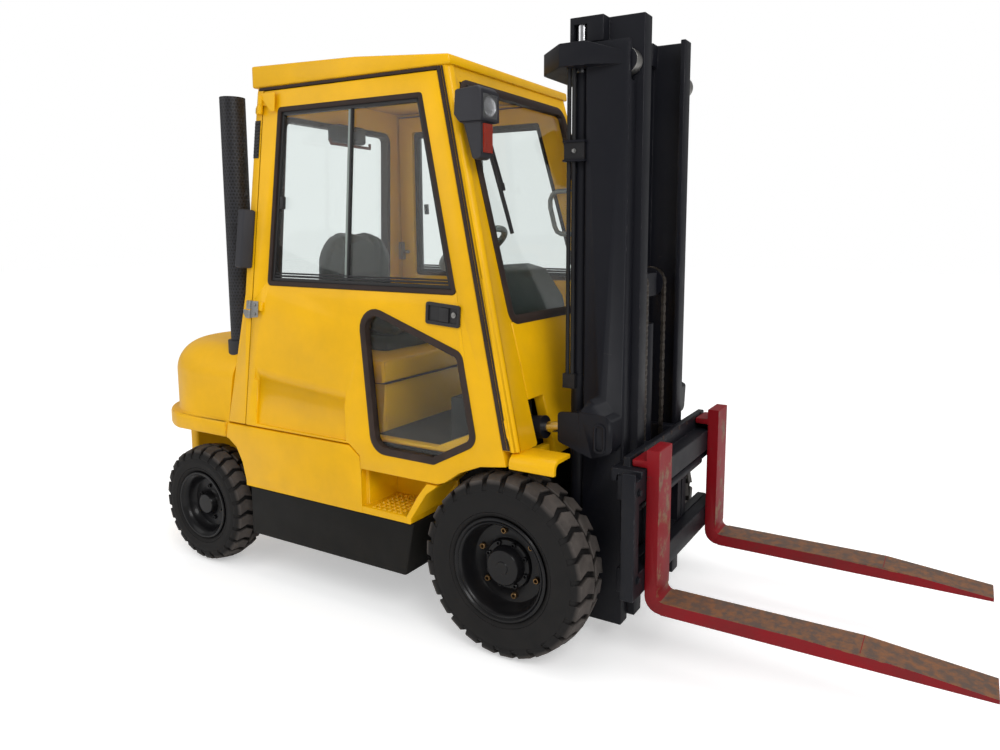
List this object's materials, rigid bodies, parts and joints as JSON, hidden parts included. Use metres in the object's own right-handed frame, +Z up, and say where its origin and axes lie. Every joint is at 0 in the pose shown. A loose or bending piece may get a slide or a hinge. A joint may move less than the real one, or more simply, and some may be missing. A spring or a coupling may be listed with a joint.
{
  "type": "forklift truck",
  "caption": "Counterbalance forklift truck with a closed cab, tilting full-free-lift mast, side-shift fork carriage and rear-wheel steering.",
  "frame": {"origin": "on the floor under the middle of the truck's box", "axes": "+X forward to the fork tips, +Y to the truck's left, +Z up"},
  "size_m": [3.562, 1.16, 2.23],
  "materials": {
    "hose_rubber": "black hydraulic hose",
    "yellow_paint": "gloss yellow enamel, chipped and stained at the edges",
    "chassis_black": "matt black chassis paint",
    "engine_iron": "plain block",
    "rim_black": "black enamel with dust",
    "floor_mat": "ribbed rubber mat",
    "glass": "clear safety glass",
    "lamp_clear": "ribbed clear lens",
    "lamp_orange": "orange indicator lens",
    "trim_plastic": "dark grey-green moulded plastic",
    "seat_frame_black": "black seat plinth",
    "seat_vinyl": "dark grey-green vinyl",
    "stack_black": "heat-resistant black paint",
    "tyre_rubber": "black rubber with dry dust",
    "mast_black": "satin blue-black paint",
    "chrome_rod": "ground chrome",
    "chain_steel": "oiled leaf chain",
    "fork_red": "red paint, worn to brown steel on the blades"
  },
  "bodies": {
    "chassis": {"chassis_frame": "chassis_black", "counterweight": "yellow_paint", "side_panel_right": "yellow_paint", "side_panel_left": "yellow_paint", "front_fenders": "yellow_paint", "front_panel": "yellow_paint", "floor_plate": "floor_mat", "engine_hood": "yellow_paint", "engine_block": "engine_iron", "drive_axle": "chassis_black", "steer_axle": "chassis_black", "cab_frame": "yellow_paint", "cab_roof": "yellow_paint", "cab_glass": "glass", "dash_console": "trim_plastic", "seat_base": "seat_frame_black", "seat_cushion": "seat_vinyl", "seat_back": "seat_vinyl", "exhaust_stack": "stack_black", "lamp_housings": "trim_plastic", "lamp_lenses": "lamp_clear", "indicator_lenses": "lamp_orange"},
    "steering_wheel": {"steering_wheel": "trim_plastic"},
    "door_right": {"door_right": "yellow_paint", "door_right_glass": "glass"},
    "door_left": {"door_left": "yellow_paint", "door_left_glass": "glass"},
    "knuckle_right": {"knuckle_right": "chassis_black"},
    "knuckle_left": {"knuckle_left": "chassis_black"},
    "wheel_front_right": {"tyre_front_right": "tyre_rubber", "rim_front_right": "rim_black"},
    "wheel_front_left": {"tyre_front_left": "tyre_rubber", "rim_front_left": "rim_black"},
    "wheel_rear_right": {"tyre_rear_right": "tyre_rubber", "rim_rear_right": "rim_black"},
    "wheel_rear_left": {"tyre_rear_left": "tyre_rubber", "rim_rear_left": "rim_black"},
    "mast_outer": {"outer_mast": "mast_black", "lift_cylinders": "mast_black", "mast_hoses": "hose_rubber"},
    "mast_inner": {"inner_mast": "mast_black", "lift_rods": "chrome_rod", "free_lift_barrel": "mast_black"},
    "crosshead": {"crosshead": "mast_black", "lift_chains": "chain_steel"},
    "carriage": {"carriage": "mast_black"},
    "side_shift": {"side_shift": "mast_black", "fork_right": "fork_red", "fork_left": "fork_red"},
    "tilt_barrel_right": {"tilt_barrel_right": "mast_black"},
    "tilt_barrel_left": {"tilt_barrel_left": "mast_black"},
    "tilt_rod_right": {"tilt_rod_right": "chrome_rod"},
    "tilt_rod_left": {"tilt_rod_left": "chrome_rod"}
  },
  "joints": [
    {"name": "mast_tilt", "type": "hinge", "parent": "chassis", "child": "mast_outer", "pos_m": [0.266, 0, 0.335], "axis": [0, 1, 0], "range_deg": [-5, 6]},
    {"name": "main_lift", "type": "slide", "parent": "mast_outer", "child": "mast_inner", "axis": [0, 0, 1], "range_m": [0, 1.5]},
    {"name": "free_lift", "type": "slide", "parent": "mast_inner", "child": "carriage", "axis": [0, 0, 1], "range_m": [-0.17, 1.35], "deforming": ["lift_chains"]},
    {"name": "crosshead_lift", "type": "slide", "parent": "mast_inner", "child": "crosshead", "axis": [0, 0, 1], "range_m": [-0.086, 0.676]},
    {"name": "side_shift", "type": "slide", "parent": "carriage", "child": "side_shift", "axis": [0, 1, 0], "range_m": [-0.1, 0.1]},
    {"name": "door_right_hinge", "type": "hinge", "parent": "chassis", "child": "door_right", "pos_m": [-1.00908, -0.52268, 1.17749], "axis": [-0.0554, -0.0766, -0.9955], "range_deg": [0, 85]},
    {"name": "door_left_hinge", "type": "hinge", "parent": "chassis", "child": "door_left", "pos_m": [-1.00908, 0.52268, 1.17749], "axis": [0.0554, -0.0766, 0.9955], "range_deg": [0, 85]},
    {"name": "steer_right", "type": "hinge", "parent": "chassis", "child": "knuckle_right", "pos_m": [-1.349, -0.365, 0.268], "axis": [0, 0, 1], "range_deg": [-66, 66]},
    {"name": "steer_left", "type": "hinge", "parent": "chassis", "child": "knuckle_left", "pos_m": [-1.349, 0.365, 0.268], "axis": [0, 0, 1], "range_deg": [-66, 66]},
    {"name": "steering_wheel_turn", "type": "hinge", "parent": "chassis", "child": "steering_wheel", "pos_m": [-0.224, 0, 1.432], "axis": [-0.5736, 0, 0.8192], "range_deg": [-661, 661]},
    {"name": "spin_front_right", "type": "hinge", "parent": "chassis", "child": "wheel_front_right", "pos_m": [0.266, -0.485, 0.335], "axis": [0, 1, 0], "continuous": true},
    {"name": "spin_front_left", "type": "hinge", "parent": "chassis", "child": "wheel_front_left", "pos_m": [0.266, 0.485, 0.335], "axis": [0, 1, 0], "continuous": true},
    {"name": "spin_rear_right", "type": "hinge", "parent": "knuckle_right", "child": "wheel_rear_right", "pos_m": [-1.349, -0.48, 0.268], "axis": [0, 1, 0], "continuous": true},
    {"name": "spin_rear_left", "type": "hinge", "parent": "knuckle_left", "child": "wheel_rear_left", "pos_m": [-1.349, 0.48, 0.268], "axis": [0, 1, 0], "continuous": true},
    {"name": "tilt_swing_right", "type": "hinge", "parent": "chassis", "child": "tilt_barrel_right", "pos_m": [-0.019, -0.34, 0.758], "axis": [0, 1, 0], "range_deg": [-2.5, 3]},
    {"name": "tilt_stroke_right", "type": "slide", "parent": "tilt_barrel_right", "child": "tilt_rod_right", "axis": [0.9915, 0, 0.1299], "range_m": [-0.042, 0.05]},
    {"name": "tilt_swing_left", "type": "hinge", "parent": "chassis", "child": "tilt_barrel_left", "pos_m": [-0.019, 0.34, 0.758], "axis": [0, 1, 0], "range_deg": [-2.5, 3]},
    {"name": "tilt_stroke_left", "type": "slide", "parent": "tilt_barrel_left", "child": "tilt_rod_left", "axis": [0.9915, 0, 0.1299], "range_m": [-0.042, 0.05]}
  ],
  "couplings": [
    {"joint": "crosshead_lift", "follows": "free_lift", "ratio": 0.5},
    {"joint": "steer_left", "follows": "steer_right", "ratio": 1},
    {"joint": "steering_wheel_turn", "follows": "steer_right", "ratio": -10},
    {"joint": "tilt_swing_right", "follows": "mast_tilt", "ratio": 0.4817},
    {"joint": "tilt_stroke_right", "follows": "mast_tilt", "m_per_rad": 0.4553},
    {"joint": "tilt_swing_left", "follows": "mast_tilt", "ratio": 0.4817},
    {"joint": "tilt_stroke_left", "follows": "mast_tilt", "m_per_rad": 0.4553}
  ]
}
